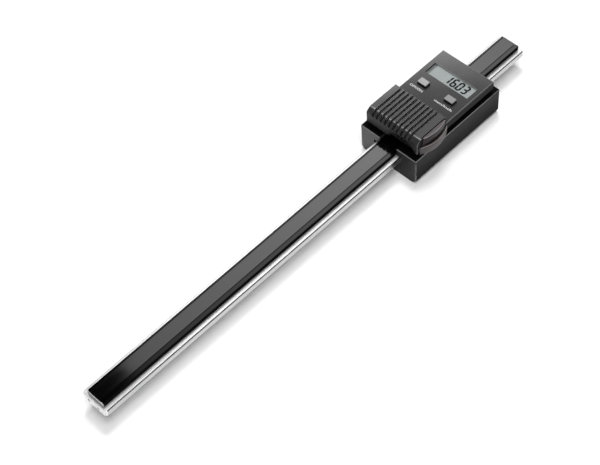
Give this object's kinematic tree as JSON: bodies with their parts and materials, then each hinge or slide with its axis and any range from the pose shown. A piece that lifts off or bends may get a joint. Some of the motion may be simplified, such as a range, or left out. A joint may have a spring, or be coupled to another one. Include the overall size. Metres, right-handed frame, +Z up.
{
  "type": "digital linear scale",
  "caption": "Digital linear scale: a flat bright rail with a black scale strip, and a black slider with a display, push buttons, a ribbed cover and a coin-cell drawer.",
  "frame": {"origin": "middle of the slider's flat underside, at the centre of its four tapped holes", "axes": "+X along the beam towards its short overhang, +Z up out of the display"},
  "size_m": [0.3566, 0.0467, 0.0346],
  "materials": {
    "rail_metal": "bright drawn and ground",
    "carrier_black": "smooth black coat, ends cut bare",
    "strip_black": "glossy black film",
    "base_black": "black anodised",
    "housing_black": "fine moulded texture",
    "fascia_grey": "fine moulded texture",
    "cover_grey": "fine moulded texture",
    "drawer_brown": "fine moulded texture",
    "button_grey": "satin",
    "window_clear": "clear",
    "lcd_glass": "grey-green reflective display",
    "connector_rubber": "layered conductive rubber",
    "board_green": "solder mask",
    "chip_black": "moulded",
    "steel": "machined",
    "cell_steel": "brushed",
    "brass": "plain"
  },
  "bodies": {
    "beam": {"scale_beam": "rail_metal", "scale_carrier": "carrier_black", "scale_strip": "strip_black"},
    "slider": {"slider_base": "base_black", "gib_strip": "brass", "gib_screws": "steel", "foot_plate": "housing_black", "plate_screws": "steel", "case_screws": "steel", "display_case": "housing_black", "display_fascia": "fascia_grey", "display_window": "window_clear", "lcd_panel": "lcd_glass", "lcd_connectors": "connector_rubber", "main_board": "board_green", "main_chip": "chip_black", "key_switches": "steel", "read_head": "board_green", "head_pins": "brass", "ribbed_cover": "cover_grey", "contact_minus": "brass", "contact_plus": "brass", "port_plate": "housing_black", "port_contacts": "brass"},
    "button_left": {"button_left": "button_grey"},
    "button_right": {"button_right": "button_grey"},
    "drawer": {"battery_drawer": "drawer_brown", "coin_cell": "cell_steel"}
  },
  "joints": [
    {"name": "slider_travel", "type": "slide", "parent": "beam", "child": "slider", "axis": [1, 0, 0], "range_m": [-0.236, 0.037]},
    {"name": "button_left_press", "type": "slide", "parent": "slider", "child": "button_left", "axis": [0, 0, -1], "range_m": [0, 0.0005], "stiffness_N_per_m": 2000},
    {"name": "button_right_press", "type": "slide", "parent": "slider", "child": "button_right", "axis": [0, 0, -1], "range_m": [0, 0.0005], "stiffness_N_per_m": 2000},
    {"name": "drawer_pull", "type": "slide", "parent": "slider", "child": "drawer", "axis": [0, -1, 0], "range_m": [0, 0.022]}
  ]
}
